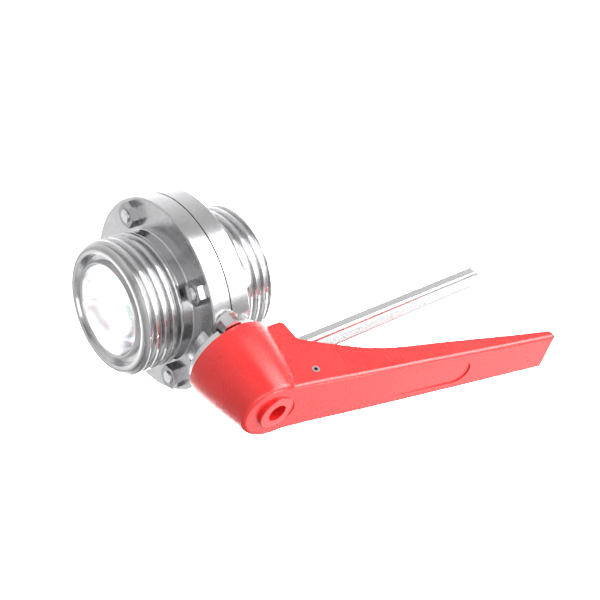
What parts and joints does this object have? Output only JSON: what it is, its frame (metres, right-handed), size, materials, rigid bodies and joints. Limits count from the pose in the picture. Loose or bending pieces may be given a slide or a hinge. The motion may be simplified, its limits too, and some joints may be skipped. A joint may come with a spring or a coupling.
{
  "type": "sanitary butterfly valve with trigger handle",
  "caption": "Two-piece stainless butterfly valve with round-thread male ends, notched position plate and a red plastic lever with a squeeze trigger that turns the disc a quarter turn.",
  "frame": {"origin": "where the flow axis and the stem axis cross, in the centre of the disc", "axes": "+X along the flow from the inlet to the outlet, +Z along the stem towards the handle, +Y completes the right-handed frame; the lever lies along +X with the valve open"},
  "size_m": [0.178, 0.088, 0.1482],
  "materials": {
    "body_steel": "turned and satin polished stainless",
    "end_steel": "turned stainless",
    "seat_silicone": "white silicone",
    "disc_steel": "polished stainless",
    "ptfe": "white ptfe",
    "ring_rubber": "black rubber",
    "fastener_steel": "bright stainless",
    "plate_steel": "machined stainless",
    "red_plastic": "satin moulded nylon",
    "insert_steel": "machined stainless",
    "trigger_steel": "polished pressed stainless",
    "pin_steel": "bright roll pin",
    "spring_steel": "drawn wire"
  },
  "bodies": {
    "valve_body": {"inlet_flange": "body_steel", "outlet_flange": "body_steel", "inlet_male_end": "end_steel", "outlet_male_end": "end_steel", "seat_ring": "seat_silicone", "upper_stem_bush": "ptfe", "lower_stem_bush": "ptfe", "stem_dust_washer": "ptfe", "upper_stem_o_ring": "ring_rubber", "lower_stem_o_ring": "ring_rubber", "body_bolts": "fastener_steel", "body_nuts": "fastener_steel", "position_plate": "plate_steel", "plate_screw": "fastener_steel"},
    "handle": {"valve_disc": "disc_steel", "drive_stem": "disc_steel", "handle_shell": "red_plastic", "handle_drive_insert": "insert_steel", "handle_screw": "fastener_steel", "handle_screw_washer": "fastener_steel", "trigger_pivot_pin": "pin_steel", "trigger_return_spring": "spring_steel"},
    "trigger": {"trigger_lever": "trigger_steel", "lock_tooth": "trigger_steel"}
  },
  "joints": [
    {"name": "stem_turn", "type": "hinge", "parent": "valve_body", "child": "handle", "pos_m": [0, 0, 0], "axis": [0, 0, 1], "range_deg": [-90, 0]},
    {"name": "trigger_pivot", "type": "hinge", "parent": "handle", "child": "trigger", "pos_m": [0.0208, 0, 0.0748], "axis": [0, -1, 0], "range_deg": [-7, 8], "stiffness_Nm_per_rad": 0.6, "springref_deg": -28.65, "deforming": ["trigger_return_spring"]}
  ]
}
